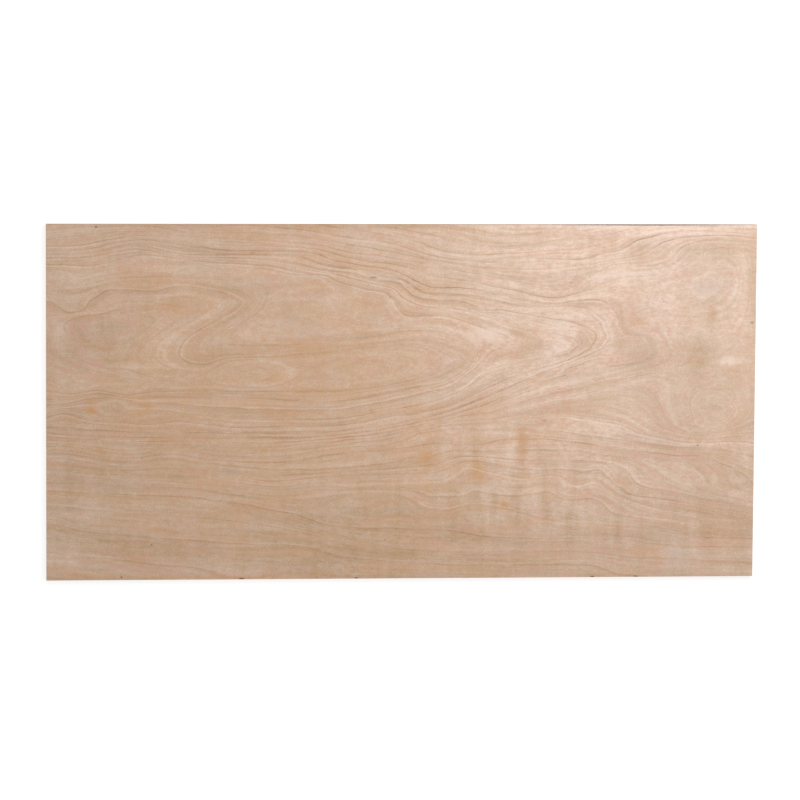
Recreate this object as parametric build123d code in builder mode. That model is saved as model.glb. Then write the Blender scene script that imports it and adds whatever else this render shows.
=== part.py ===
"""Plywood sheet, 2440 x 1220 x 18 mm: nine veneers, laid crosswise by turns and pressed into one board.

X runs along the grain of the show face, Y across it, and Z up through the thickness.
The origin is the middle of the back face, which lies on the floor.
"""

import os

from build123d import *

# Board size, in millimetres
sheet_length = 2440.0
sheet_width = 1220.0

# Lay-up: a thin veneer on each face, and an odd number of thicker plies between them
face_veneer = 0.6
core_veneer = 2.4
core_plies = 7

# Sawn edges: side grain dries back from the cut, and end grain stays where the saw left it
side_grain_setback = 0.12
arris_easing = 0.3
corner_radius = 1.0

# Tear-outs in the show face along the near long edge: middle along X, length with the grain, depth
edge_chips = [
    (-553.0, 17.0, 3.2),
    (-158.0, 12.0, 2.4),
    (660.0, 14.0, 3.0),
    (812.0, 13.0, 2.6),
]

sheet_thickness = 2 * face_veneer + core_plies * core_veneer


def lay_up():
    """The plies from the back face up: where each starts, its thickness, and whether its grain runs along X."""
    veneers = [face_veneer] + [core_veneer] * core_plies + [face_veneer]
    plies = []
    bottom = 0.0
    for number, veneer in enumerate(veneers):
        plies.append((bottom, veneer, number % 2 == 0))
        bottom += veneer
    return plies


def ply_outline(grain_along_x):
    """Length and width of a ply, which is drawn back on the two edges that show its side grain."""
    if grain_along_x:
        return sheet_length, sheet_width - 2 * side_grain_setback
    return sheet_length - 2 * side_grain_setback, sheet_width


with BuildPart() as plywood_sheet:
    # The plies, each spread on the one below, fused into one board by the press
    for bottom, veneer, grain_along_x in lay_up():
        length, width = ply_outline(grain_along_x)
        with BuildSketch(Plane.XY.offset(bottom)):
            RectangleRounded(length, width, corner_radius)
        extrude(amount=veneer)

    # The sharp arrises, rubbed down all round both faces by sanding and handling
    faces = plywood_sheet.faces().filter_by(Axis.Z).sort_by(Axis.Z)
    arrises = faces[0].outer_wire().edges() + faces[-1].outer_wire().edges()
    chamfer(arrises, length=min(arris_easing, face_veneer / 2))

    # Tear-outs: the show veneer is broken away down to its glue line
    near_edge_of_face = -ply_outline(grain_along_x=True)[1] / 2
    with BuildSketch(Plane.XY.offset(sheet_thickness)):
        for middle, chip_length, chip_depth in edge_chips:
            with Locations((middle, near_edge_of_face)):
                Ellipse(chip_length / 2, chip_depth)
    extrude(amount=-face_veneer, mode=Mode.SUBTRACT)

plywood_sheet.part.label = "plywood_sheet"

os.makedirs("parts", exist_ok=True)
export_step(plywood_sheet.part, "parts/plywood_sheet.step")
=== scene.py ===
"""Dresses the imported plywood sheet: its veneer figure, its sawn edges, its studio stage and its camera."""

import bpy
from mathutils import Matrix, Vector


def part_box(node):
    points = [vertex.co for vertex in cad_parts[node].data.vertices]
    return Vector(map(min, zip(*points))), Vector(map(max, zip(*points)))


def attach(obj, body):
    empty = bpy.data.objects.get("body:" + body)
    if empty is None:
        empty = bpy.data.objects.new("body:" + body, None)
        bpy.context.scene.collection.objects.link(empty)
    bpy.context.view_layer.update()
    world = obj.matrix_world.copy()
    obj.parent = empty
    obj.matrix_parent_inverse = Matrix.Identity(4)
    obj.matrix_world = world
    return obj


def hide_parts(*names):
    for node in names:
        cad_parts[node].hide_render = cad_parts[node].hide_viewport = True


bl_info = {
    "name": "Plywood Sheet",
    "version": (1, 0, 0),
    "blender": (4, 5, 0),
    "location": "3D View > Sidebar > Plywood",
    "description": "Gives a plywood sheet its rotary-cut figure, its sawn edges and a studio stage",
    "category": "Object",
}

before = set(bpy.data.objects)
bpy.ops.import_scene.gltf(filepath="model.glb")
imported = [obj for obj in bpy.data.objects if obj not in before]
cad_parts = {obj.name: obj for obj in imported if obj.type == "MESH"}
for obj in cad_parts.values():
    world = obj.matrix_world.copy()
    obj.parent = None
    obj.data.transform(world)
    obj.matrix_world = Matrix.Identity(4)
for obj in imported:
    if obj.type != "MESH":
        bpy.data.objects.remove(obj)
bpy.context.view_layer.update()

from math import ceil, hypot, radians
from typing import NamedTuple

import bmesh
import bpy
import numpy as np
from bpy.props import FloatProperty, FloatVectorProperty, IntProperty, PointerProperty
from mathutils import Euler, Vector

BOARD_NODE = "plywood_sheet"
BOARD_LOW, BOARD_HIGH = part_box(BOARD_NODE)
MM = 0.001


def paint(red, green, blue):
    """A colour given as 0 to 255 values, in the linear form that shaders use."""
    shades = []
    for value in (red, green, blue):
        share = value / 255
        shades.append(share / 12.92 if share <= 0.04045 else ((share + 0.055) / 1.055) ** 2.4)
    return tuple(shades)


# The figure of the show face. A rotary-cut veneer shows each growth ring as a contour line, so the figure
# is the map of a smooth hill: each line below is a ring, and rings count up towards the tongue's middle.


class RingLine(NamedTuple):
    """A ring seen on the show face: its number, its looks, and where it runs, in mm from the middle.

    Its dark line and its pale line have a strength from 0 to 1. The pale line lies on the side of the
    higher rings where pale_inside is 1, and on the other side where it is -1.
    """

    ring: float
    dark: float
    pale: float
    pale_inside: float
    points: tuple


RING_LINES = {
    "far_edge_curve": RingLine(10, 0.35, 0.2, -1, (
        (-10, 595), (160, 565), (330, 535), (545, 555), (670, 570), (795, 600))),
    "upper_curve": RingLine(12, 0.6, 0.45, 1, (
        (-525, 605), (-355, 590), (-230, 570), (-35, 540), (100, 500), (265, 480), (385, 490), (610, 490),
        (675, 505), (760, 525), (795, 550), (845, 565), (920, 580), (1085, 585), (1215, 575))),
    "upper_step": RingLine(14, 0.35, 0.25, 1, (
        (-1220, 555), (-1105, 570), (-885, 585), (-730, 565), (-355, 545), (-185, 515), (125, 465),
        (265, 435), (435, 405), (540, 400), (580, 410), (600, 435), (655, 445), (760, 465), (845, 465),
        (925, 490), (945, 515), (980, 540), (1035, 555), (1110, 555), (1215, 545))),
    "outer_tongue": RingLine(16, 0.75, 0.3, 1, (
        (-1220, 520), (-1105, 520), (-970, 545), (-870, 555), (-730, 535), (-595, 520), (-345, 515),
        (-215, 480), (-35, 450), (30, 420), (90, 395), (210, 390), (315, 370), (435, 345), (510, 335),
        (585, 345), (645, 350), (700, 340), (735, 300), (740, 265), (765, 235), (820, 225), (850, 200),
        (855, 170), (825, 145), (775, 130), (690, 115), (515, 80), (420, 45), (335, 15), (260, -15),
        (95, -60), (-130, -100), (-420, -120), (-970, -115), (-1220, -100))),
    "tongue_fold": RingLine(17, 0.5, 0.35, 1, (
        (435, 325), (510, 325), (585, 325), (625, 320), (665, 300), (695, 275), (705, 245), (700, 205),
        (675, 180), (560, 135), (390, 65))),
    "middle_tongue": RingLine(18, 0.7, 0.7, -1, (
        (-1220, 495), (-1070, 500), (-985, 520), (-900, 525), (-740, 500), (-425, 490), (-295, 460),
        (-175, 445), (-110, 425), (-45, 415), (-15, 410), (15, 380), (50, 360), (105, 350), (210, 345),
        (250, 325), (290, 315), (330, 320), (470, 295), (600, 270), (640, 255), (665, 235), (665, 215),
        (650, 190), (560, 140), (390, 90), (300, 50), (180, -5), (75, -35), (-55, -55), (-205, -80),
        (-400, -85), (-595, -85), (-780, -65), (-855, -75), (-1040, -65), (-1160, -40), (-1220, -55))),
    "inner_tongue": RingLine(20, 0.55, 0.8, 1, (
        (-1220, 470), (-1070, 470), (-920, 500), (-870, 505), (-665, 480), (-465, 465), (-375, 445),
        (-275, 435), (-230, 415), (-120, 385), (-80, 380), (-50, 365), (-15, 315), (15, 295), (130, 295),
        (195, 280), (250, 260), (330, 235), (385, 205), (350, 190), (295, 170), (255, 130), (165, 60),
        (35, 25), (-130, -10), (-230, -25), (-360, -25), (-650, -15), (-805, 0), (-900, 4), (-960, 16),
        (-1020, 20), (-1090, 12), (-1150, 0), (-1220, -5))),
    "tongue_heart": RingLine(19, 0.4, 0.3, 1, (
        (200, 315), (300, 285), (395, 251), (550, 227), (602, 200), (550, 162), (412, 141), (300, 112))),
    "shoulder_foot": RingLine(20.5, 0.1, 0.1, 1, (
        (-1105, 432), (-1000, 455), (-900, 468), (-800, 465), (-700, 455), (-595, 442))),
    "left_shoulder": RingLine(21, 0.32, 0.12, 1, (
        (-1220, 410), (-1105, 400), (-1020, 420), (-955, 425), (-835, 430), (-725, 425), (-595, 418),
        (-500, 402), (-468, 370), (-500, 310), (-605, 243), (-633, 208), (-554, 197), (-407, 197),
        (-260, 205), (-100, 228), (40, 245), (150, 235), (225, 205), (255, 165), (225, 120), (140, 70))),
    "hollow_middle": RingLine(20.55, 0.1, 0.1, 1, (
        (-420, 345), (-250, 352), (-130, 335), (-105, 305), (-150, 270), (-260, 255), (-400, 268))),
    "left_loop": RingLine(22, 0.6, 0.4, -1, (
        (-1220, 350), (-1185, 335), (-1135, 310), (-1105, 315), (-1080, 340), (-1050, 365), (-1015, 385),
        (-855, 385), (-805, 395), (-760, 400), (-675, 390), (-595, 370), (-555, 350), (-565, 325),
        (-630, 285), (-725, 230), (-755, 200), (-765, 165), (-750, 145), (-710, 135), (-660, 135),
        (-605, 155), (-430, 160), (-115, 190), (50, 200), (130, 175), (165, 155), (155, 125), (105, 95),
        (-10, 65), (-180, 40), (-420, 35), (-695, 40), (-865, 35), (-950, 25), (-1050, 40), (-1125, 30),
        (-1220, 40))),
    "left_hollow": RingLine(23, 0.4, 0.2, -1, (
        (-1100, 297), (-1138, 285), (-1155, 249), (-1153, 206), (-1123, 163), (-1071, 130), (-1000, 114),
        (-950, 115), (-850, 85), (-730, 80))),
    "left_hollow_foot": RingLine(22.5, 0.1, 0.1, 1, (
        (-1220, 105), (-1050, 75), (-880, 58), (-760, 50))),
    "knot_eye": RingLine(19, 0.2, 0.5, 1, (
        (-1045, -20), (-1030, -6), (-1000, -2), (-968, -8), (-953, -22), (-972, -36), (-1010, -40),
        (-1045, -20))),
    "small_eye": RingLine(23, 0.35, 0.35, 1, (
        (-672, 92), (-630, 126), (-575, 141), (-490, 145), (-415, 134), (-366, 103), (-400, 70),
        (-485, 53), (-580, 55), (-640, 68), (-672, 92))),
    "small_eye_middle": RingLine(24, 0.3, 0.3, 1, (
        (-590, 96), (-560, 113), (-505, 118), (-455, 109), (-440, 97), (-465, 84), (-515, 79),
        (-565, 83), (-590, 96))),
    "right_eye": RingLine(16, 0.12, 0.22, 1, (
        (984, 392), (1000, 425), (1030, 438), (1056, 449), (1088, 442), (1104, 412), (1090, 380),
        (1062, 362), (1030, 346), (998, 360), (984, 392))),
    "lower_right_eye": RingLine(15, 0.25, 0.3, 1, (
        (945, 215), (960, 245), (985, 255), (1015, 245), (1025, 215), (1005, 185), (980, 175), (955, 190),
        (945, 215))),
    "right_swirl": RingLine(15, 0.15, 0.35, 1, (
        (995, -10), (1000, 10), (1030, 35), (1070, 40), (1125, 25), (1150, -10), (1155, -50), (1125, -80),
        (1075, -95), (1030, -90), (1005, -55), (995, -10))),
    "right_swirl_middle": RingLine(15.4, 0.1, 0.1, 1, ((1050, -20), (1080, -30), (1105, -25))),
    "right_side": RingLine(14.9, 0.05, 0.05, 1, ((1195, 500), (1205, 400), (1205, 250))),
    "tongue_belly": RingLine(15, 0.3, 0.2, 1, (
        (890, 110), (800, 95), (700, 72), (560, 38), (420, 5), (300, -35))),
    "below_tongue": RingLine(13, 0.45, 0.55, -1, (
        (560, -50), (650, -65), (715, -75), (765, -85), (815, -110), (930, -135), (1040, -145),
        (1150, -140), (1215, -150))),
    "pale_run": RingLine(12, 0.3, 0.4, 1, (
        (60, -105), (165, -90), (260, -90), (390, -85), (495, -95), (610, -110), (670, -120))),
    "long_run": RingLine(11, 0.5, 0.2, 1, (
        (-1220, -160), (-1145, -160), (-960, -190), (-790, -175), (-645, -195), (-420, -205), (-210, -175),
        (-50, -165), (105, -145), (265, -145), (345, -130), (495, -130), (720, -155), (930, -185),
        (1035, -190), (1130, -225), (1180, -250), (1220, -285))),
    "wave_far": RingLine(10, 0.5, 0.25, 1, (
        (-300, -230), (-50, -210), (25, -190), (85, -190), (185, -165), (270, -170), (495, -165),
        (620, -170), (695, -185), (815, -200), (930, -235), (990, -270), (1030, -305), (1095, -320),
        (1215, -350))),
    "wave_middle": RingLine(8, 0.55, 0.3, 1, (
        (-420, -270), (-190, -250), (30, -245), (125, -240), (205, -205), (250, -205), (320, -215),
        (390, -230), (575, -235), (620, -245), (680, -235), (705, -255), (770, -310), (835, -330),
        (925, -340), (1215, -390))),
    "wave_pale": RingLine(7, 0.2, 0.8, -1, (
        (-190, -285), (-5, -280), (135, -270), (170, -255), (215, -225), (235, -225), (275, -235),
        (410, -265), (510, -255), (555, -265), (580, -285), (620, -290), (660, -275), (685, -285),
        (730, -315), (795, -345), (880, -370), (1090, -410))),
    "wave_near": RingLine(6, 0.4, 0.6, 1, (
        (95, -325), (160, -325), (215, -320), (250, -305), (285, -315), (390, -325), (505, -310),
        (535, -325), (565, -340), (630, -335), (675, -340), (710, -370), (740, -390), (895, -415))),
    "wave_last": RingLine(5, 0.2, 0.5, 1, (
        (-300, -325), (-145, -315), (-15, -320), (50, -345), (80, -365), (165, -370), (235, -355),
        (340, -365), (520, -410), (695, -425), (895, -445))),
    "near_shelf": RingLine(4.5, 0.1, 0.1, 1, (
        (-330, -358), (-240, -365), (-150, -370), (-40, -385), (60, -405))),
    "near_run": RingLine(4, 0.55, 0.15, 1, (
        (-1220, -300), (-920, -315), (-775, -320), (-600, -340), (-475, -365), (-370, -385), (-260, -420),
        (-125, -435), (-30, -435), (165, -445), (340, -470), (720, -475), (885, -495), (1020, -505),
        (1220, -510))),
    "near_run_lower": RingLine(3, 0.3, 0.2, 1, (
        (-1220, -350), (-970, -375), (-695, -395), (-490, -420), (-315, -455), (-180, -485), (100, -515),
        (620, -520), (830, -540), (1215, -560))),
    "near_edge_run": RingLine(2, 0.45, 0.25, 1, (
        (-1220, -410), (-1090, -440), (-880, -460), (-645, -480), (-455, -490), (-350, -495), (-210, -530),
        (-20, -550), (270, -565), (625, -565), (740, -595))),
    "near_corner_run": RingLine(1, 0.4, 0.3, 1, (
        (-1220, -510), (-1040, -530), (-855, -555), (-700, -570), (-590, -600))),
}


class Patch(NamedTuple):
    """A soft patch of the show face: its middle, its reach along and across in mm, and what it adds.

    Tone makes the wood paler or deeper, and the others add to the quality that each is named for.
    """

    x: float
    y: float
    along: float
    across: float
    tone: float = 0.0
    blush: float = 0.0
    stain: float = 0.0
    ash: float = 0.0
    dark_line: float = 0.0
    pale_line: float = 0.0
    # ripple adds painted sheen: the light and dark bands of the ripple figure
    ripple: float = 0.0


PATCHES = {
    # How the whole board goes from deep at the near left to pale at the far right: partly the wood's own
    # tone, partly painted light, as if the key lamp on the far right lit that side more
    "near_left_side": Patch(-1150, -150, 550, 500, -0.13),
    "near_middle": Patch(0, -540, 700, 170, -0.14),
    # Partly painted highlight: the key lamp's sheen over the far right, painted in as paler wood
    "far_right_side": Patch(780, 470, 620, 330, 0.32),
    "right_end": Patch(1200, 150, 200, 500, 0.02),
    "far_right_corner": Patch(1180, 570, 180, 90, -0.10),
    "pale_middle_right": Patch(560, 0, 360, 260, 0.09),
    "golden_middle": Patch(-400, -40, 760, 560, 0.07, blush=-0.03, stain=0.24),
    "paler_middle": Patch(300, 60, 260, 280, 0.06),
    "pale_near_right": Patch(620, -240, 280, 130, 0.10),
    "pale_tongue_side": Patch(170, 235, 130, 80, 0.12),
    "paler_left_loop": Patch(-757, 260, 140, 90, 0.05),
    "pale_near_middle": Patch(443, -470, 170, 80, 0.05),
    "duller_near_right": Patch(1060, -470, 170, 100, -0.05),
    "paler_over_middle": Patch(140, 350, 120, 80, 0.05),
    "paler_near_side": Patch(540, -530, 240, 50, 0.05),
    "deeper_near_left": Patch(-300, -406, 260, 55, -0.06),
    "warmer_near_left": Patch(-900, -406, 380, 55, stain=0.035),
    "paler_under_tongue": Patch(519, 0, 90, 80, 0.06),
    "cooler_left_loop": Patch(-760, 182, 160, 60, 0.05, stain=-0.03),
    "pink_right_end": Patch(1020, 80, 420, 560, 0.045, blush=0.02, stain=-0.06, ash=0.03),
    "duller_near_left": Patch(-350, -470, 600, 170, -0.045),
    "grey_far_right": Patch(1043, 475, 200, 110, -0.02, stain=-0.05, ash=0.15),

    # The far side, left to right
    "pale_far_left": Patch(-1150, 500, 120, 22, 0.1),
    "far_left_shoulder": Patch(-950, 444, 25, 12, stain=0.1),
    "far_grey_streak": Patch(-640, 519, 90, 14, -0.12, ash=0.14),
    "far_edge_strip": Patch(-350, 604, 700, 10, -0.16, stain=0.16),
    "pale_fold_at_left": Patch(-250, 440, 260, 12, 0.12),
    "brown_far_streak": Patch(-126, 438, 46, 14, -0.12),
    "dark_run_over_tongue": Patch(140, 400, 180, 34, -0.06, dark_line=0.5),
    "pale_blot_over_fold": Patch(236, 395, 30, 22, 0.12),
    "pale_blot_over_tongue": Patch(365, 400, 38, 18, 0.14),
    "pale_far_run": Patch(480, 512, 250, 12, 0.15),
    "brown_bay_rim": Patch(694, 466, 56, 30, -0.14),
    "pale_bay": Patch(737, 430, 45, 40, 0.14),
    "brown_far_bay": Patch(840, 514, 110, 34, -0.28),
    # A painted highlight: a pale line along the far arris, as if the arris caught the light
    "painted_highlight_far_arris": Patch(850, 603, 380, 7, 0.7, blush=-0.25, stain=-0.2),
    "brown_bay_side": Patch(884, 444, 36, 28, -0.14),
    "dark_far_corner_run": Patch(960, 560, 230, 22, dark_line=0.4),
    "pale_far_corner_run": Patch(1000, 586, 220, 12, 0.22),
    "brown_far_corner": Patch(1080, 522, 110, 24, -0.24, stain=0.05),

    # The tongue and the two loops beside it, left to right
    "pale_left_end": Patch(-1178, 251, 38, 48, 0.2, ash=0.08),
    "left_loop_rim": Patch(-1109, 230, 30, 80, -0.08, blush=0.1),
    "pale_left_streak": Patch(-923, 124, 105, 12, 0.2),
    "left_loop_pale": Patch(-840, 234, 55, 60, 0.08),
    "left_loop_brown": Patch(-778, 327, 32, 34, -0.1, stain=0.08),
    "pale_loop_roof": Patch(-760, 412, 200, 18, 0.09),
    "pale_loop_nose": Patch(-515, 344, 42, 38, 0.13),
    "small_eye_heart": Patch(-502, 100, 34, 13, 0.12),
    "rusty_run_three": Patch(-364, 200, 50, 10, stain=0.09),
    "loop_heart": Patch(-340, 330, 110, 50, -0.03, stain=0.12),
    "rusty_run_two": Patch(-191, 165, 55, 12, -0.04, stain=0.12),
    "rusty_run_one": Patch(-150, 62, 65, 14, -0.06, stain=0.12),
    "pale_over_loop": Patch(-5, 355, 62, 40, 0.12),
    "pale_loop_end": Patch(200, 190, 34, 48, 0.1),
    "dark_over_tip": Patch(252, 276, 42, 10, -0.14, dark_line=0.2),
    "pale_under_tip": Patch(291, 180, 28, 15, 0.16),
    "pale_tongue_tip": Patch(304, 228, 56, 22, 0.72, blush=-0.25, stain=-0.15, ash=0.05, pale_line=0.3),
    "pale_tongue_throat": Patch(310, 128, 70, 26, 0.12),
    "brown_over_tip": Patch(310, 371, 76, 9, -0.15),
    "pale_tongue_point": Patch(362, 205, 38, 14, 0.35, dark_line=-0.5),
    "brown_over_point": Patch(380, 238, 36, 15, -0.3),
    "brown_under_heart": Patch(385, 150, 80, 14, -0.2),
    "brown_tongue_heart": Patch(432, 188, 56, 36, -0.2, stain=0.06),
    "paler_tongue": Patch(440, 200, 240, 90, 0.08),
    "pale_beside_heart": Patch(518, 180, 44, 48, 0.24),
    "pale_inside_fold": Patch(560, 244, 64, 30, 0.32),
    "pale_over_fold": Patch(581, 298, 95, 13, 0.28),
    "ash_under_tongue": Patch(605, 86, 90, 22, ash=0.22),
    "brown_inside_fold": Patch(632, 206, 26, 52, -0.24, stain=0.05),
    "brown_roof": Patch(640, 335, 130, 11, -0.28, dark_line=0.3),
    "pale_outside_fold": Patch(704, 196, 24, 90, 0.28),
    "brown_tongue_side": Patch(777, 158, 30, 34, -0.12),
    "brown_shoulder": Patch(780, 298, 40, 64, -0.2),
    "dark_shoulder_foot": Patch(842, 152, 62, 64, -0.3, blush=0.06, ash=0.04),

    # The eyes and swirls at the right end, left to right
    "pale_upright_band": Patch(926, 350, 26, 200, 0.10),
    "brown_between_eyes": Patch(1023, 155, 84, 66, -0.24, stain=0.06),
    "right_eye_ash": Patch(1050, 388, 45, 34, ash=0.3),
    "brown_under_eye": Patch(1068, 300, 20, 60, -0.28),
    "pale_spot": Patch(1137, 139, 38, 15, 0.6, ash=0.16),
    "lilac_by_eye": Patch(1140, 370, 26, 50, 0.14, blush=0.12, ash=0.16),
    "brown_by_swirl": Patch(1154, -125, 28, 26, -0.16),
    "brown_right_side": Patch(1205, 400, 32, 140, -0.27),

    # The middle, left to right
    "orange_knot": Patch(-1064, -2, 18, 16, blush=0.2, stain=0.45),
    "orange_knot_foot": Patch(-1064, -30, 14, 11, blush=0.35, stain=0.7),
    "knot_swirl": Patch(-985, -20, 60, 34, ash=0.12, pale_line=0.3),
    "calm_left_lines": Patch(-900, -80, 450, 130, dark_line=-0.25, pale_line=-0.3),
    "orange_by_swirl": Patch(-886, -12, 36, 28, stain=0.3),
    "calm_far_left_lines": Patch(-850, 510, 450, 40, dark_line=-0.2, pale_line=-0.3),
    "orange_streak": Patch(-391, -45, 42, 14, stain=0.16),
    "ash_streak": Patch(-240, -86, 46, 6, -0.2, ash=0.25, dark_line=0.3),
    "orange_fleck": Patch(-105, -31, 9, 6, stain=0.6),
    "calm_heart_lines": Patch(-50, 168, 330, 76, dark_line=-0.38, pale_line=-0.3),
    "calm_under_tongue": Patch(180, -60, 230, 60, dark_line=-0.25, pale_line=-0.15),
    "pale_run_blot": Patch(295, -90, 62, 18, 0.14),
    "pale_run_step": Patch(488, -142, 28, 46, 0.18),
    "pale_belly": Patch(600, 18, 100, 18, 0.18),
    "pale_run_middle": Patch(640, -96, 200, 27, 0.17),
    "pale_run_foot": Patch(850, -145, 170, 15, 0.09),
    "calm_shoulder_loop": Patch(850, 175, 84, 62, dark_line=-0.6, pale_line=-0.4),
    "brown_right_run": Patch(964, -178, 130, 24, -0.12, blush=0.12),
    "pale_run_right": Patch(1092, -151, 125, 14, 0.2),

    # The waves, left to right
    "calm_wave_starts": Patch(-70, -290, 170, 60, dark_line=-0.2, pale_line=-0.7),
    "orange_foot": Patch(64, -286, 36, 14, stain=0.2),
    "orange_bar_one": Patch(79, -206, 22, 58, stain=0.30),
    "pale_by_bar": Patch(186, -266, 34, 42, 0.14),
    "orange_bar_two": Patch(262, -234, 28, 44, -0.04, stain=0.36),
    "brown_by_bar": Patch(325, -206, 24, 22, -0.13, stain=0.08),
    "yellow_spot": Patch(351, -355, 17, 16, 0.08, stain=0.6),
    "pale_among_waves": Patch(374, -305, 54, 34, 0.1),
    "pale_bar": Patch(378, -165, 16, 52, 0.28),
    "orange_bar_three": Patch(414, -166, 17, 62, -0.05, stain=0.38),
    # Painted sheen: stronger light and dark bands of the ripple figure here
    "rippled_waves": Patch(420, -280, 330, 220, ripple=0.8),
    "rippled_far_side": Patch(550, 520, 380, 110, ripple=0.6),
    "ash_wave": Patch(668, -337, 42, 12, -0.14, ash=0.19),
    # Painted sheen: stronger light and dark bands of the ripple figure here
    "rippled_near_right": Patch(950, -450, 260, 120, ripple=0.5),
    "pale_wave_step": Patch(1002, -292, 26, 10, 0.16),
    "calm_wave_ends": Patch(1060, -400, 260, 60, dark_line=-0.2, pale_line=-0.5),
    "pale_wave_end": Patch(1157, -323, 32, 12, 0.24),
    "pale_right_edge": Patch(1189, -206, 13, 50, 0.22),

    # The near side, left to right
    "pale_near_corner": Patch(-1185, -530, 62, 26, 0.2, ash=0.11),
    "pale_near_left": Patch(-1171, -389, 85, 14, 0.14),
    "left_smear": Patch(-1123, -266, 34, 56, -0.07),
    "ash_fleck_one": Patch(-771, -251, 22, 12, -0.12, ash=0.17),
    "orange_near_edge": Patch(-760, -603, 380, 9, -0.08, stain=0.3),
    "pale_near_streak": Patch(-670, -498, 180, 22, 0.11),
    "brown_left_streak": Patch(-609, -224, 44, 30, -0.1),
    "ash_fleck_two": Patch(-588, -241, 26, 12, -0.12, ash=0.17),
    "dark_near_line": Patch(-395, -385, 85, 12, dark_line=0.5),
    "brown_near_streak": Patch(-298, -353, 90, 26, -0.09),
    "ash_near_run": Patch(-288, -409, 140, 30, -0.05, ash=0.1),
    "brown_near_run": Patch(-160, -530, 180, 16, -0.14, ash=0.06),
    "near_edge_strip": Patch(143, -578, 200, 12, stain=0.14),
    "near_smear_one": Patch(205, -440, 42, 62, -0.15),
    "near_smear_two": Patch(260, -337, 16, 40, -0.12),
    "near_smear_three": Patch(270, -388, 34, 20, -0.12),
    "near_smear_four": Patch(502, -378, 32, 46, -0.07),
    "near_smear_five": Patch(538, -335, 18, 56, -0.13),
    "near_smear_six": Patch(778, -458, 110, 18, -0.18),
    "near_smear_seven": Patch(900, -470, 56, 54, -0.08),
    "ash_by_right_waves": Patch(943, -395, 46, 26, 0.1, ash=0.14),
    "ash_near_right": Patch(950, -543, 46, 42, 0.12, ash=0.45),
    "near_smear_eight": Patch(1092, -464, 110, 26, -0.15),
    "blush_near_right": Patch(1116, -544, 95, 45, blush=0.18),
}


class Fleck(NamedTuple):
    """A dark mark of the show face, most of them small: its middle and its reach in mm, and its strength.
    Most are flecks and pin knots; some are painted shade along the far arris and at the chips.
    """

    x: float
    y: float
    along: float
    across: float
    strength: float


FLECKS = {
    "pin_knot_far_left": Fleck(-1050, 600, 5.0, 4.5, 0.7),
    "pin_knot_near_edge": Fleck(-964, -600, 4.5, 4.5, 0.7),
    "pin_knot_near_left": Fleck(-861, -489, 4.0, 4.0, 0.5),
    "pin_knot_near_middle": Fleck(-60, -475, 3.5, 3.5, 0.3),
    "pin_knot_left": Fleck(-895, -193, 4.0, 4.0, 0.25),
    "pin_knot_right": Fleck(1023, -153, 5.5, 4.0, 0.5),
    "bruise_under_tongue": Fleck(488, -65, 12.0, 7.0, 0.22),
    "bark_fleck_on_tongue": Fleck(-105, 428, 17.0, 4.5, 0.42),
    "bark_fleck_at_left": Fleck(-519, 512, 15.0, 4.0, 0.22),
    "bark_fleck_over_fold": Fleck(170, 350, 22.0, 3.0, 0.2),
    "grey_spot_at_right": Fleck(1207, 272, 8.0, 6.5, 0.4),
    "bark_fleck_far_right": Fleck(577, 410, 8.0, 4.0, 0.22),
    # Painted shade: a dark line along the far arris, drawn in the bark colour, for the shade at the board's
    # far edge
    "painted_shade_far_arris": Fleck(850, 611, 400.0, 6.0, 0.85),
    # Painted shade with some grime: dark marks round the chips at the near edge, for the shade in their
    # hollows and their dark torn fibres
    "shade_and_grime_at_chip_one": Fleck(-553, -608, 12.0, 4.0, 0.75),
    "shade_and_grime_at_chip_two": Fleck(-158, -608, 9.0, 3.5, 0.75),
    "shade_and_grime_at_chip_three": Fleck(660, -608, 10.0, 4.0, 0.65),
    "shade_and_grime_at_chip_four": Fleck(812, -608, 10.0, 3.5, 0.65),
}

# The surface through the ring lines: how much smoother it is along the grain, how loosely it may pass the
# lines, how far apart on a line the points lie that hold it, the least squared distance that its logarithm
# takes, and how many places are worked out at a time
FIELD_STRETCH = 2.5
FIELD_SLACK = 2e-5
SAMPLE_STEP = 45 * MM
LEAST_SQUARE = 1e-12
PLACES_AT_A_TIME = 4096

# A line's looks: how far apart the points lie that carry them, how far they reach along and across the
# grain, and the looks that they fade to, with how little these weigh close to a line
MARK_STEP = 18 * MM
LINE_REACH = (50 * MM, 14 * MM)
PLAIN_LOOKS = (0.15, 0.05, 1.0)
PLAIN_WEIGHT = 0.05

# The fewest rings in a metre that show as lines, and the ripple outside every patch, whose light and dark
# bands are painted sheen
FAINTEST_SLOPE = 2.5
PLAIN_RIPPLE = 0.3


def smooth_curve(points, step):
    """Points a step apart along the smooth curve through the given ones, which closes where they close."""
    stops = [np.array(point, float) * MM for point in points]
    closed = np.allclose(stops[0], stops[-1])
    before = stops[-2] if closed else 2 * stops[0] - stops[1]
    after = stops[1] if closed else 2 * stops[-1] - stops[-2]
    stops = [before, *stops, after]
    curve = []
    for a, b, c, d in zip(stops, stops[1:], stops[2:], stops[3:]):
        count = ceil(hypot(*(c - b)) / step)
        for t in np.arange(count) / count:
            turn = (-a + c) * t + (2 * a - 5 * b + 4 * c - d) * t**2 + (-a + 3 * b - 3 * c + d) * t**3
            curve.append(b + turn / 2)
    curve.append(stops[-2])
    return np.array(curve)


def sample_lines(lines, step):
    """Points a step apart along every line, and the number of the line that each lies on."""
    curves = [smooth_curve(line.points, step) for line in lines]
    return np.vstack(curves), np.repeat(np.arange(len(lines)), [len(curve) for curve in curves])


def squares_between(points, anchors):
    """The squared distance of each point from each anchor."""
    squares = (points**2).sum(1)[:, None] + (anchors**2).sum(1) - 2 * points @ anchors.T
    return np.maximum(squares, LEAST_SQUARE)


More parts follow.
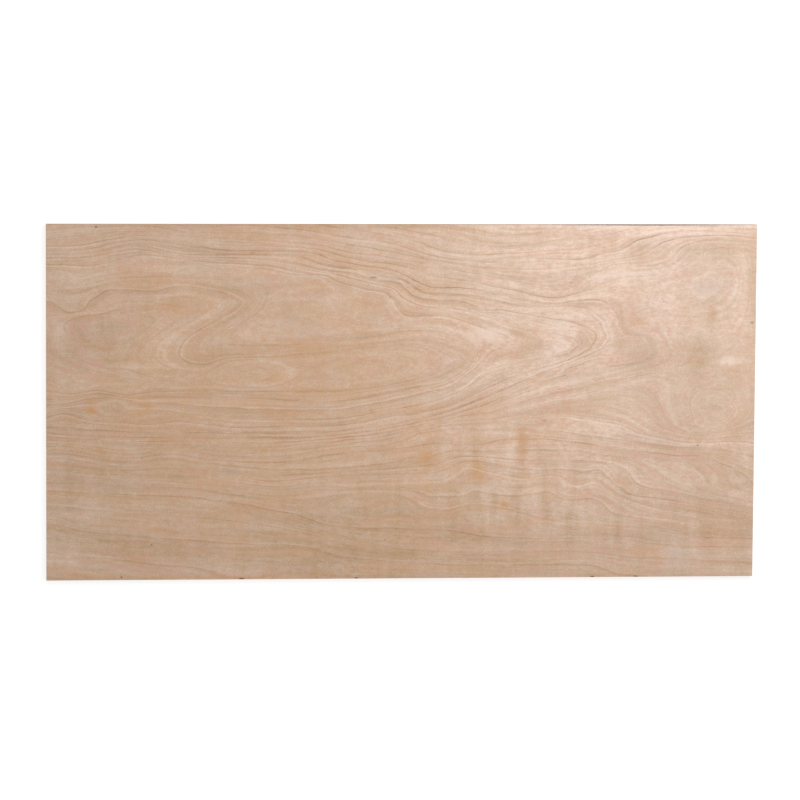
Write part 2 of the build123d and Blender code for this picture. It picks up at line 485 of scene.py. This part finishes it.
class RingField:
    """The hill whose contours are the rings: the least bent surface through every ring line."""

    def __init__(self, lines):
        samples, numbers = sample_lines(lines, SAMPLE_STEP)
        self.anchors = self.squeeze(samples)
        count = len(self.anchors)
        bending = self.bend(self.anchors) + FIELD_SLACK * np.eye(count)
        plane = np.c_[np.ones(count), self.anchors]
        system = np.block([[bending, plane], [plane.T, np.zeros((3, 3))]])
        rings = np.array([lines[number].ring for number in numbers], float)
        self.weights = np.linalg.solve(system, np.r_[rings, 0, 0, 0])

    @staticmethod
    def squeeze(points):
        """Shortens the grain direction, so that the surface is smoother along the grain than across it."""
        return points / (FIELD_STRETCH, 1)

    def bend(self, points):
        """How each anchor bends the surface at each point."""
        squares = squares_between(points, self.anchors)
        return squares * np.log(squares) / 2

    def rings(self, points):
        """The ring count at each point."""
        points = self.squeeze(points)
        bending, plane = np.split(self.weights, [len(self.anchors)])
        return self.bend(points) @ bending + np.c_[np.ones(len(points)), points] @ plane


def looks_near_lines(lines, points):
    """The looks of the ring lines, spread a short way round them and fading to plain looks."""
    samples, numbers = sample_lines(lines, MARK_STEP)
    looks = np.array([(line.dark, line.pale, line.pale_inside) for line in lines])
    nearness = np.exp(-squares_between(points / LINE_REACH, samples / LINE_REACH))
    total = nearness.sum(1) + PLAIN_WEIGHT
    return (nearness @ looks[numbers] + PLAIN_WEIGHT * np.array(PLAIN_LOOKS)) / total[:, None]


# Sizes and colours that a user would change


def length_setting(name, description, default, low, high):
    """A length, given in mm with its least and its largest value."""
    return FloatProperty(
        name=name, description=description, default=default * MM, min=low * MM, max=high * MM,
        unit="LENGTH", subtype="DISTANCE")


def colour_setting(name, description, *shades):
    """A colour, given as its red, green and blue from 0 to 255."""
    return FloatVectorProperty(
        name=name, description=description, size=3, subtype="COLOR", default=paint(*shades))


class VeneerSettings(bpy.types.PropertyGroup):
    """The show face: how finely its figure is laid out, how strong it is and what colours it has."""

    cell: length_setting("Figure cell", "Spacing of the points that carry the figure", 8, 4, 40)
    line_width: length_setting(
        "Ring line width", "Width of the dark line at the end of a ring", 3.8, 0.5, 20)
    wander: length_setting(
        "Ring wander", "How far a ring line strays from its smooth course", 3.0, 0, 20)
    raised_grain: length_setting(
        "Raised grain", "How deep the soft wood between the rings is sanded away", 0.05, 0, 0.3)
    pale_wood: colour_setting("Pale wood", "The palest plain wood", 237, 212, 194)
    deep_wood: colour_setting("Deep wood", "The deepest plain wood", 173, 138, 97)
    late_wood: colour_setting("Late wood", "The dark line at the end of a ring", 146, 88, 46)
    early_wood: colour_setting("Early wood", "The pale line at the start of a ring", 250, 226, 206)
    blush: colour_setting("Blush", "The pinkish heartwood tint", 214, 166, 146)
    stain: colour_setting("Mineral stain", "The orange stain round small knots", 205, 151, 92)
    ash: colour_setting("Ash", "The greyish tint of some streaks", 194, 176, 164)
    # The bark colour also draws the painted shade along the far arris and at the chips
    bark: colour_setting("Bark", "The flecks and the hearts of pin knots", 84, 56, 42)


class EdgeSettings(bpy.types.PropertyGroup):
    """The sawn edges and the back: how the plies lie and what colours they have."""

    face_veneer: length_setting("Face veneer", "Thickness of the outer veneers", 0.6, 0.2, 4)
    core_plies: IntProperty(
        name="Core plies", description="Number of plies between the two face veneers",
        default=7, min=1, max=25)
    glue_line: length_setting("Glue line", "Thickness of the dark line between two plies", 0.14, 0, 1)
    side_grain: colour_setting("Side grain", "A ply cut along its grain", 216, 182, 144)
    end_grain: colour_setting("End grain", "A ply cut across its grain", 168, 128, 94)
    glue: colour_setting("Glue", "The glue line between two plies", 74, 46, 30)
    back_wood: colour_setting("Back veneer", "The plain veneer of the back face", 196, 158, 122)


class StageSettings(bpy.types.PropertyGroup):
    """The studio: its light, its floor and the camera over the board."""

    sky_level: FloatProperty(
        name="Sky level", description="Strength of the even light from all round", default=0.62, min=0)
    key_power: FloatProperty(
        name="Key lamp", description="Power of the large soft lamp on the far right",
        default=86, min=0, unit="POWER", subtype="POWER")
    floor_colour: FloatVectorProperty(
        name="Floor", description="The pale studio floor", size=3, subtype="COLOR",
        default=(0.8, 0.8, 0.8))
    lens: FloatProperty(
        name="Lens", description="Focal length of the camera in millimetres", default=200, min=10)
    camera_place: FloatVectorProperty(
        name="Camera place", description="Where the camera hangs over the board",
        default=(-1.394, 1.516, 15.120), size=3, unit="LENGTH", subtype="TRANSLATION")
    camera_turn: FloatVectorProperty(
        name="Camera turn", description="How the camera leans from looking straight down",
        default=(radians(-5.715), radians(-5.199), radians(0.358)), size=3, unit="ROTATION",
        subtype="EULER")


# Node trees

# How strongly the sanded wood mirrors light
SPECULAR_LEVEL = 0.3


class Shader:
    """A material's node tree, with one short call for each kind of node."""

    def __init__(self, name):
        self.material = bpy.data.materials.new(name)
        self.material.use_nodes = True
        self.tree = self.material.node_tree
        self.surface = self.tree.nodes["Principled BSDF"]
        self.place = self.tree.nodes.new("ShaderNodeTexCoord").outputs["Object"]

    def feed(self, socket, value):
        """Gives a socket its value, or a link from another socket."""
        if isinstance(value, bpy.types.NodeSocket):
            self.tree.links.new(value, socket)
        elif socket.type == "RGBA":
            socket.default_value = (*value, 1.0)
        else:
            socket.default_value = value

    def node(self, kind, inputs, **settings):
        """A new node with its settings and its inputs."""
        node = self.tree.nodes.new(kind)
        for name, value in settings.items():
            setattr(node, name, value)
        for key, value in inputs.items():
            self.feed(node.inputs[key], value)
        return node

    def math(self, operation, *values):
        """One step of arithmetic."""
        return self.node("ShaderNodeMath", dict(enumerate(values)), operation=operation).outputs[0]

    def product(self, value, *factors):
        """A value multiplied by each factor."""
        for factor in factors:
            value = self.math("MULTIPLY", value, factor)
        return value

    def blend(self, value, *shares):
        """A value to which each pattern adds its share."""
        for pattern, share in shares:
            value = self.math("MULTIPLY_ADD", pattern, share, value)
        return value

    def vector(self, x, y, z):
        """Three values as one vector."""
        return self.node("ShaderNodeCombineXYZ", {0: x, 1: y, 2: z}).outputs[0]

    def vector_math(self, operation, inputs, output="Vector"):
        """One step of arithmetic on vectors."""
        return self.node("ShaderNodeVectorMath", inputs, operation=operation).outputs[output]

    def noise(self, vector, detail=2, roughness=0.5):
        """Smooth noise from about -1 to 1."""
        inputs = {"Vector": vector, "Scale": 1.0, "Detail": detail, "Roughness": roughness}
        noise = self.node("ShaderNodeTexNoise", inputs, noise_dimensions="3D")
        return self.math("MULTIPLY_ADD", noise.outputs[0], 4.0, -2.0)

    def waves(self, x, y, z=0.0, detail=2, roughness=0.5):
        """Noise over the board, with so many waves in a metre along each axis."""
        return self.noise(self.vector_math("MULTIPLY", {0: self.place, 1: (x, y, z)}), detail, roughness)

    def fade(self, value, start, end, before=0.0, after=1.0):
        """A smooth step of a value from one level to another."""
        inputs = {"Value": value, "From Min": start, "From Max": end, "To Min": before, "To Max": after}
        return self.node("ShaderNodeMapRange", inputs, interpolation_type="SMOOTHSTEP").outputs[0]

    def thin_line(self, distance, width):
        """A thin line where a distance or a pattern passes through zero."""
        return self.fade(self.math("ABSOLUTE", distance), 0.0, width, 1.0, 0.0)

    def quality(self, name):
        """A number that the mesh carries at each point."""
        return self.node("ShaderNodeAttribute", {}, attribute_name=name).outputs["Fac"]

    def colour_mix(self, amount, first, second):
        """A colour between two others, by an amount from 0 to 1."""
        return self.node("ShaderNodeMix", {0: amount, 6: first, 7: second}, data_type="RGBA").outputs[2]

    def finish(self, colour, roughness, relief, depth=0.1 * MM):
        """The finished material, whose relief is a height from 0 to 1 over a depth."""
        bump = self.node("ShaderNodeBump", {"Strength": 1.0, "Distance": depth, "Height": relief})
        for name, value in (
                ("Base Color", colour), ("Roughness", roughness), ("Normal", bump.outputs[0]),
                ("Specular IOR Level", SPECULAR_LEVEL)):
            self.feed(self.surface.inputs[name], value)
        return self.material


# The show face between its ring lines and outside its patches, and how strongly the lines are drawn
PLAIN_TONE = 0.545
PLAIN_BLUSH = 0.08
PLAIN_STAIN = 0.055
PLAIN_ASH = 0.03
LATE_LINE_STRENGTH = 0.48
EARLY_LINE_STRENGTH = 0.34


def show_veneer(veneer):
    """The sanded show face, whose figure follows the qualities that the mesh carries."""
    shader = Shader("show_veneer")
    x = shader.node("ShaderNodeSeparateXYZ", {0: shader.place}).outputs[0]

    # The ring count, which strays a little from the smooth hill
    slope = shader.quality("ring_slope")
    stray = shader.product(shader.waves(9, 45, detail=3), veneer.wander)
    level = shader.math("MULTIPLY_ADD", stray, slope, shader.quality("ring_level"))

    def along_rings(along, across, start, detail=2):
        """Noise drawn out along the rings: so many waves in a metre along x, and in a ring across them."""
        drawn_out = shader.vector(shader.product(x, along), shader.product(level, across), start)
        return shader.noise(drawn_out, detail)

    # How far the place lies beyond the nearest ring line, on the line's pale side, in rings and in metres
    beyond = shader.math("SUBTRACT", level, shader.math("ROUND", level))
    beyond = shader.product(beyond, shader.math("SIGN", shader.quality("pale_inside")))
    metres = shader.math("DIVIDE", beyond, shader.math("MAXIMUM", slope, FAINTEST_SLOPE))

    # How strong the two sides of the line are, which come and go by turns and end where the hill is flat
    presence = shader.fade(slope, FAINTEST_SLOPE, 3 * FAINTEST_SLOPE)
    broken = shader.waves(6, 26, detail=3)
    dark_line = shader.product(
        shader.quality("dark_line"), presence, shader.fade(broken, -0.8, 0.8, 0.1, 1.15))
    pale_line = shader.product(
        shader.quality("pale_line"), presence, shader.fade(broken, 0.8, -0.8, 0.1, 1.15))

    # The dark side is a thin line with a soft shade behind it, and the pale side is softer
    width = veneer.line_width
    late_line = shader.thin_line(shader.math("ADD", metres, width * 0.4), width)
    late_line = shader.product(late_line, dark_line)
    late_shade = shader.product(
        shader.fade(beyond, -0.45, -0.02), shader.fade(beyond, -0.01, 0.03, 1.0, 0.0), dark_line)
    early_line = shader.thin_line(shader.math("SUBTRACT", metres, width * 0.9), width * 1.4)
    early_line = shader.product(early_line, pale_line)
    early_shade = shader.product(
        shader.fade(beyond, 0.4, 0.04), shader.fade(beyond, -0.02, 0.02), pale_line)

    # Streaks that follow the rings, fibres that follow the board, ripples across it, and soft mottling. The
    # ripples are the wood's ripple figure with its sheen painted into the colour, as light and dark bands
    # across the grain.
    bands = along_rings(1.3, 0.9, 0.0, detail=1)
    streaks = along_rings(3.0, 2.6, 3.0, detail=3)
    fine = along_rings(6.0, 8.0, 5.0, detail=3)
    hairs = shader.thin_line(along_rings(2.2, 3.0, 8.0), 0.3)
    fine_hairs = shader.thin_line(along_rings(3.0, 6.0, 10.0), 0.3)
    pale_hairs = shader.thin_line(along_rings(2.6, 2.3, 12.0), 0.28)
    grain = shader.waves(2.5, 38, detail=3)
    fibres = shader.waves(8, 120, detail=3, roughness=0.6)
    mottle = shader.waves(45, 70, detail=3, roughness=0.6)
    grit = shader.waves(160, 330, roughness=0.7)
    cloud = shader.waves(4, 7, detail=3)
    ripple = shader.product(shader.waves(19, 3.5), shader.quality("ripple"))
    pores = shader.fade(shader.waves(90, 1500, detail=1), 0.45, 1.0)
    filaments = shader.waves(35, 900, detail=3, roughness=0.6)
    uneven = shader.waves(30, 34, 6.0, detail=3)

    # The plain wood, from deep to pale
    patchy = shader.blend(1.0, (uneven, 0.35), (streaks, 0.45))
    tone = shader.math("MULTIPLY_ADD", shader.quality("tone"), patchy, PLAIN_TONE)
    tone = shader.blend(
        tone, (bands, 0.095), (streaks, 0.09), (fine, 0.055), (hairs, -0.08), (fine_hairs, -0.055),
        (pale_hairs, 0.05), (grain, 0.045), (fibres, 0.04), (mottle, 0.11), (grit, 0.13), (cloud, 0.08),
        (ripple, 0.22), (pores, -0.10), (filaments, 0.08), (late_shade, -0.12), (early_shade, 0.08))
    colour = shader.colour_mix(tone, veneer.deep_wood, veneer.pale_wood)

    # Its tints, its ring lines, and the marks on it
    blush = shader.blend(
        shader.quality("blush"), (along_rings(2.0, 0.8, 20.0), 0.16),
        (along_rings(5.0, 4.5, 22.0, detail=3), 0.38), (shader.waves(3, 5, 7.0), 0.14),
        (shader.waves(12, 24, 1.0), 0.24), (shader.waves(55, 110, 2.0), 0.42))
    stain = shader.blend(
        shader.product(shader.quality("stain"), shader.blend(1.0, (uneven, 0.5))),
        (shader.waves(2.5, 4, 9.0), 0.09), (shader.waves(5, 20, 3.0), 0.16),
        (shader.waves(45, 60, 4.0), 0.12))
    ash = shader.blend(shader.quality("ash"), (along_rings(3.0, 1.2, 30.0), 0.12))
    for tint, plain_share, tint_colour in (
            (blush, PLAIN_BLUSH, veneer.blush), (stain, PLAIN_STAIN, veneer.stain),
            (ash, PLAIN_ASH, veneer.ash)):
        colour = shader.colour_mix(shader.math("ADD", tint, plain_share), colour, tint_colour)
    for line, strength, line_colour in (
            (late_line, LATE_LINE_STRENGTH, veneer.late_wood),
            (early_line, EARLY_LINE_STRENGTH, veneer.early_wood)):
        colour = shader.colour_mix(shader.product(line, strength), colour, line_colour)
    colour = shader.vector_math("SCALE", {0: colour, "Scale": shader.blend(1.0, (grit, 0.09))})
    colour = shader.colour_mix(fleck_marks(shader), colour, veneer.bark)

    relief = shader.blend(shader.product(fine, 0.1), (filaments, 0.15), (pores, -0.5))
    return shader.finish(colour, shader.blend(0.62, (streaks, 0.03)), relief)


def fleck_marks(shader):
    """How dark the flecks, the pin knots and the painted shade at the far arris and at the chips make each
    place, from 0 to 1.
    """
    rough = shader.waves(260, 420)
    marks = 0.0
    for fleck in FLECKS.values():
        middle = (fleck.x * MM, fleck.y * MM, BOARD_HIGH.z)
        away = shader.vector_math("SUBTRACT", {0: shader.place, 1: middle})
        reaches = (1 / (fleck.along * MM), 1 / (fleck.across * MM), 0)
        away = shader.vector_math("MULTIPLY", {0: away, 1: reaches})
        away = shader.blend(shader.vector_math("LENGTH", {0: away}, "Value"), (rough, 0.3))
        marks = shader.math("MAXIMUM", marks, shader.fade(away, 0.35, 1.1, fleck.strength, 0.0))
    return marks


def toned(colour, share):
    """A colour made darker or paler by a share."""
    return [value * share for value in colour]


def back_veneer(edges):
    """The plain back face: straight open grain, duller and less even than the show face."""
    shader = Shader("back_veneer")
    grain = shader.waves(1.1, 16, detail=5, roughness=0.6)
    fibres = shader.waves(6, 240, detail=3)
    tone = shader.blend(0.5, (grain, 0.3), (fibres, 0.12))
    colour = shader.colour_mix(tone, toned(edges.back_wood, 0.72), edges.back_wood)
    return shader.finish(colour, 0.7, fibres)


def torn_wood(edges):
    """The floor and walls of a chip, where the show veneer tore away: dark glue with pale splinters."""
    shader = Shader("torn_wood")
    splinters = shader.waves(160, 1400, 900, detail=3, roughness=0.6)
    colour = shader.colour_mix(shader.blend(0.35, (splinters, 0.35)), edges.glue, edges.end_grain)
    return shader.finish(colour, 0.85, splinters, 0.3 * MM)


def edge_plies(edges, name, wood, along, across):
    """The sawn edge of the plies whose grain lies one way, with its glue lines."""
    shader = Shader(name)
    height = shader.node("ShaderNodeSeparateXYZ", {0: shader.place}).outputs[2]
    core = core_veneer(edges)
    plies = shader.math("DIVIDE", shader.math("SUBTRACT", height, edges.face_veneer), core)
    from_glue = shader.math("ABSOLUTE", shader.math("SUBTRACT", plies, shader.math("ROUND", plies)))
    glue = shader.fade(shader.product(from_glue, core), edges.glue_line / 2, edges.glue_line, 1.0, 0.0)
    streaks = shader.waves(along, along, across, detail=4, roughness=0.6)
    patches = shader.waves(14, 14, 130)
    saw_marks = shader.waves(330, 330, 12)
    tone = shader.blend(0.5, (saw_marks, 0.12), (patches, 0.2), (streaks, 0.28))
    colour = shader.colour_mix(tone, toned(wood, 0.6), toned(wood, 1.15))
    colour = shader.colour_mix(glue, colour, edges.glue)
    return shader.finish(colour, 0.75, streaks)


# The board

# Points this near are one point, cuts this near a point pass through it, and faces this even are one face
SAME_PLACE = 1e-6
CUT_REACH = 1e-7
SAME_PLANE = radians(0.05)

# How level a face is, as the Z of its normal: at least this much on a flat side of the board, and at least
# this much where it shows a face veneer, also on its eased arris
FLAT = 0.9
FACING = 0.5


def core_veneer(edges):
    """The thickness of one core ply."""
    return (BOARD_HIGH.z - BOARD_LOW.z - 2 * edges.face_veneer) / edges.core_plies


def split_by_planes(board, pieces, axis, cuts):
    """Cuts mesh elements by parallel planes, halving the list of cuts each time."""
    if not cuts or not pieces:
        return
    middle = len(cuts) // 2
    normal = Vector((axis == 0, axis == 1, 0))
    done = bmesh.ops.bisect_plane(
        board, geom=pieces, dist=CUT_REACH, plane_co=normal * cuts[middle], plane_no=normal)
    below, above = [], []
    for piece in done["geom"]:
        if isinstance(piece, bmesh.types.BMVert):
            places = [piece.co[axis]]
        else:
            places = [vert.co[axis] for vert in piece.verts]
        if min(places) < cuts[middle] - SAME_PLACE:
            below.append(piece)
        if max(places) > cuts[middle] + SAME_PLACE:
            above.append(piece)
    split_by_planes(board, below, axis, cuts[:middle])
    split_by_planes(board, above, axis, cuts[middle + 1:])


def even_places(low, high, cell):
    """Places about a cell apart, from one side to the other."""
    return np.linspace(low, high, round((high - low) / cell) + 1)


def board_mesh(cell):
    """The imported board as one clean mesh, its show face cut into cells that carry the figure."""
    board = bmesh.new()
    board.from_mesh(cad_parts[BOARD_NODE].data)
    bmesh.ops.remove_doubles(board, verts=board.verts, dist=SAME_PLACE)
    bmesh.ops.dissolve_limit(board, angle_limit=SAME_PLANE, verts=board.verts, edges=board.edges)
    whole = [*board.verts, *board.edges, *board.faces]
    split_by_planes(board, whole, 0, list(even_places(BOARD_LOW.x, BOARD_HIGH.x, cell)[1:-1]))
    back = {face for face in board.faces if face.normal.z < -FLAT}
    edges = [edge for edge in board.edges if not all(face in back for face in edge.link_faces)]
    rest = [*board.verts, *edges, *(face for face in board.faces if face not in back)]
    split_by_planes(board, rest, 1, list(even_places(BOARD_LOW.y, BOARD_HIGH.y, cell)[1:-1]))
    return board


# The board's materials, by slot. A torn face lies further in than the rim, and no deeper than this many
# face veneers.
SHOW, BACK, SIDE_GRAIN, END_GRAIN, TORN = range(5)
OUTER_RIM = 0.5 * MM
CHIP_REACH = 1.1


def sort_faces(board, edges):
    """Gives each face the material of what it shows: a veneer, or a ply cut along or across its grain."""
    core = core_veneer(edges)
    for face in board.faces:
        middle = face.calc_center_median()
        height = middle.z
        within = abs(middle.x) < BOARD_HIGH.x - OUTER_RIM and abs(middle.y) < BOARD_HIGH.y - OUTER_RIM
        if face.normal.z > FACING and height > BOARD_HIGH.z - edges.face_veneer / 2:
            face.material_index = SHOW
        elif face.normal.z < -FACING and height < BOARD_LOW.z + edges.face_veneer / 2:
            face.material_index = BACK
        elif within and height > BOARD_HIGH.z - CHIP_REACH * edges.face_veneer:
            face.material_index = TORN
        else:
            ply = int(np.clip((height - edges.face_veneer) // core + 1, 0, edges.core_plies + 1))
            grain_along_x = ply % 2 == 0
            edge_along_x = abs(face.normal.y) >= abs(face.normal.x)
            face.material_index = SIDE_GRAIN if grain_along_x == edge_along_x else END_GRAIN


def grid_of_qualities(xs, ys):
    """Every quality of the show face at the crossings of a grid of places."""
    lines = list(RING_LINES.values())
    field = RingField(lines)
    places = np.array([(x, y) for y in ys for x in xs])
    levels, looks = [], []
    for start in range(0, len(places), PLACES_AT_A_TIME):
        some = places[start:start + PLACES_AT_A_TIME]
        levels.append(field.rings(some))
        looks.append(looks_near_lines(lines, some))
    level = np.concatenate(levels).reshape(len(ys), len(xs))
    dark, pale, inside = np.vstack(looks).T.reshape(3, len(ys), len(xs))
    across, along = np.gradient(level, ys, xs)
    added = list(Patch._field_defaults)
    qualities = {name: np.zeros_like(level) for name in added}
    qualities.update({
        "ring_level": level,
        "ring_slope": np.hypot(across, along),
        "dark_line": dark,
        "pale_line": pale,
        "pale_inside": inside,
        "ripple": np.full_like(level, PLAIN_RIPPLE),
    })
    far_x, far_y = np.meshgrid(xs, ys)
    for patch in PATCHES.values():
        nearness = np.exp(-((far_x - patch.x * MM) / (patch.along * MM)) ** 2
                          - ((far_y - patch.y * MM) / (patch.across * MM)) ** 2)
        for name in added:
            qualities[name] += getattr(patch, name) * nearness
    return qualities


def read_grid(xs, ys, values, places):
    """The values of a grid at places between its crossings."""
    column = np.clip(np.searchsorted(xs, places[:, 0]) - 1, 0, len(xs) - 2)
    row = np.clip(np.searchsorted(ys, places[:, 1]) - 1, 0, len(ys) - 2)
    right = (places[:, 0] - xs[column]) / (xs[column + 1] - xs[column])
    up = (places[:, 1] - ys[row]) / (ys[row + 1] - ys[row])
    lower = values[row, column] * (1 - right) + values[row, column + 1] * right
    upper = values[row + 1, column] * (1 - right) + values[row + 1, column + 1] * right
    return lower * (1 - up) + upper * up


def lay_figure(mesh, veneer):
    """Puts the figure's qualities on the mesh, and sands the soft wood between the rings a little lower."""
    low, high = BOARD_LOW, BOARD_HIGH
    xs = even_places(low.x, high.x, veneer.cell)
    ys = even_places(low.y, high.y, veneer.cell)
    places = np.zeros(len(mesh.vertices) * 3)
    mesh.vertices.foreach_get("co", places)
    places = places.reshape(-1, 3)
    qualities = {
        name: read_grid(xs, ys, values, places) for name, values in grid_of_qualities(xs, ys).items()}
    for name, values in qualities.items():
        mesh.attributes.new(name, "FLOAT", "POINT").data.foreach_set("value", values)
    sanded = np.ones(len(mesh.vertices), bool)
    for face in mesh.polygons:
        if face.material_index != SHOW or face.normal.z < FLAT:
            sanded[list(face.vertices)] = False
    hollow = 0.5 - 0.5 * np.cos(2 * np.pi * qualities["ring_level"])
    places[:, 2] -= sanded * hollow * veneer.raised_grain
    mesh.vertices.foreach_set("co", places.ravel())
    mesh.update()


class PLYWOOD_OT_board(bpy.types.Operator):
    """Make the visible board, with its figure and its sawn edges, in place of the plain packed one"""

    bl_idname = "plywood.board"
    bl_label = "Make the Board"
    bl_options = {"REGISTER", "UNDO"}

    def execute(self, context):
        veneer, edges = context.scene.plywood_veneer, context.scene.plywood_edges
        board = board_mesh(veneer.cell)
        sort_faces(board, edges)
        mesh = bpy.data.meshes.new("plywood_board")
        board.to_mesh(mesh)
        board.free()
        lay_figure(mesh, veneer)
        materials = {
            SHOW: show_veneer(veneer),
            BACK: back_veneer(edges),
            SIDE_GRAIN: edge_plies(edges, "side_grain_edge", edges.side_grain, along=9, across=900),
            END_GRAIN: edge_plies(edges, "end_grain_edge", edges.end_grain, along=700, across=500),
            TORN: torn_wood(edges),
        }
        for slot in sorted(materials):
            mesh.materials.append(materials[slot])
        piece = bpy.data.objects.new("plywood_board", mesh)
        context.scene.collection.objects.link(piece)
        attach(piece, "root")
        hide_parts(BOARD_NODE)
        return {"FINISHED"}


# The stage

# The floor: its side, its gap below the board, and the glow and the grey that the camera sees, which make
# white paper between them and leave the board's shadow in it
FLOOR_SIDE = 60.0
FLOOR_GAP = 0.2 * MM
PAPER_GLOW = 0.69
PAPER_GREY = (0.5, 0.5, 0.5)

# The key lamp: where it hangs, what it is aimed at, and its side
KEY_PLACE = Vector((2.0, 2.6, 2.4))
KEY_TARGET = Vector((0.3, 0.1, 0.0))
KEY_SIDE = 2.0

SENSOR_WIDTH = 36


def studio_floor(colour):
    """A pale floor that the camera sees as white paper, and that keeps the board's shadow."""
    mesh = bpy.data.meshes.new("studio_floor")
    paper = bmesh.new()
    bmesh.ops.create_grid(paper, x_segments=1, y_segments=1, size=FLOOR_SIDE / 2)
    bmesh.ops.translate(paper, verts=paper.verts, vec=(0, 0, BOARD_LOW.z - FLOOR_GAP))
    paper.to_mesh(mesh)
    paper.free()
    mesh.materials.append(white_paper(colour))
    floor = bpy.data.objects.new("studio_floor", mesh)
    bpy.context.scene.collection.objects.link(floor)
    return floor


def white_paper(colour):
    """Plain matt paper of a colour, which glows just enough to be white where the background is seen."""
    material = bpy.data.materials.new("white_paper")
    material.use_nodes = True
    tree = material.node_tree
    tree.nodes.clear()
    new, link = tree.nodes.new, tree.links.new
    plain = new("ShaderNodeBsdfDiffuse")
    plain.inputs["Color"].default_value = (*colour, 1)
    glow = new("ShaderNodeEmission")
    glow.inputs["Strength"].default_value = PAPER_GLOW
    shaded = new("ShaderNodeBsdfDiffuse")
    shaded.inputs["Color"].default_value = (*PAPER_GREY, 1)
    seen = new("ShaderNodeAddShader")
    link(glow.outputs[0], seen.inputs[0])
    link(shaded.outputs[0], seen.inputs[1])
    chosen = new("ShaderNodeMixShader")
    link(background_rays(tree), chosen.inputs[0])
    link(plain.outputs[0], chosen.inputs[1])
    link(seen.outputs[0], chosen.inputs[2])
    link(chosen.outputs[0], new("ShaderNodeOutputMaterial").inputs["Surface"])
    return material


def background_rays(tree):
    """1 for the rays that see the background: from the camera, in gloss and through glass."""
    path = tree.nodes.new("ShaderNodeLightPath")
    seen = path.outputs["Is Camera Ray"]
    for name in ("Is Glossy Ray", "Is Transmission Ray"):
        either = tree.nodes.new("ShaderNodeMath")
        either.operation = "MAXIMUM"
        tree.links.new(seen, either.inputs[0])
        tree.links.new(path.outputs[name], either.inputs[1])
        seen = either.outputs[0]
    return seen


def even_sky(level):
    """Even light from all round, which the camera sees as plain white."""
    world = bpy.data.worlds.new("studio_sky")
    world.use_nodes = True
    tree = world.node_tree
    background = tree.nodes["Background"]
    background.inputs["Color"].default_value = (1, 1, 1, 1)
    strength = tree.nodes.new("ShaderNodeMix")
    tree.links.new(background_rays(tree), strength.inputs[0])
    strength.inputs[2].default_value = level
    strength.inputs[3].default_value = 1.0
    tree.links.new(strength.outputs[0], background.inputs["Strength"])
    bpy.context.scene.world = world


def key_lamp(power):
    """A large soft lamp on the far right, aimed at the board."""
    lamp = bpy.data.lights.new("key_lamp", "AREA")
    lamp.shape = "SQUARE"
    lamp.size = KEY_SIDE
    lamp.energy = power
    holder = bpy.data.objects.new("key_lamp", lamp)
    holder.location = KEY_PLACE
    holder.rotation_euler = (KEY_TARGET - KEY_PLACE).to_track_quat("-Z", "Y").to_euler()
    bpy.context.scene.collection.objects.link(holder)


def photo_camera(settings):
    """The camera over the board, at the photograph's viewing angle."""
    camera = bpy.data.cameras.new("photo_camera")
    camera.lens = settings.lens
    camera.sensor_width = SENSOR_WIDTH
    holder = bpy.data.objects.new("photo_camera", camera)
    holder.location = settings.camera_place
    holder.rotation_euler = Euler(settings.camera_turn)
    bpy.context.scene.collection.objects.link(holder)
    return holder


class PLYWOOD_OT_stage(bpy.types.Operator):
    """Set the white studio floor, the soft lights and the camera over the board"""

    bl_idname = "plywood.stage"
    bl_label = "Set the Stage"
    bl_options = {"REGISTER", "UNDO"}

    def execute(self, context):
        settings = context.scene.plywood_stage
        studio_floor(settings.floor_colour)
        even_sky(settings.sky_level)
        key_lamp(settings.key_power)
        context.scene.camera = photo_camera(settings)
        context.scene.view_settings.view_transform = "Standard"
        return {"FINISHED"}


class PLYWOOD_PT_panel(bpy.types.Panel):
    """The plywood tools in the 3D view's sidebar"""

    bl_label = "Plywood Sheet"
    bl_space_type = "VIEW_3D"
    bl_region_type = "UI"
    bl_category = "Plywood"

    def draw(self, context):
        for settings, operator in (
                (context.scene.plywood_veneer, None),
                (context.scene.plywood_edges, PLYWOOD_OT_board),
                (context.scene.plywood_stage, PLYWOOD_OT_stage)):
            box = self.layout.box()
            for name in settings.__annotations__:
                box.prop(settings, name)
            if operator:
                box.operator(operator.bl_idname)


CLASSES = (
    VeneerSettings, EdgeSettings, StageSettings, PLYWOOD_OT_board, PLYWOOD_OT_stage, PLYWOOD_PT_panel)


def register():
    for each in CLASSES:
        bpy.utils.register_class(each)
    bpy.types.Scene.plywood_veneer = PointerProperty(type=VeneerSettings)
    bpy.types.Scene.plywood_edges = PointerProperty(type=EdgeSettings)
    bpy.types.Scene.plywood_stage = PointerProperty(type=StageSettings)


def unregister():
    del bpy.types.Scene.plywood_stage
    del bpy.types.Scene.plywood_edges
    del bpy.types.Scene.plywood_veneer
    for each in reversed(CLASSES):
        bpy.utils.unregister_class(each)


def main():
    """Builds the whole scene."""
    register()
    bpy.ops.plywood.board()
    bpy.ops.plywood.stage()


if __name__ == "__main__":
    main()
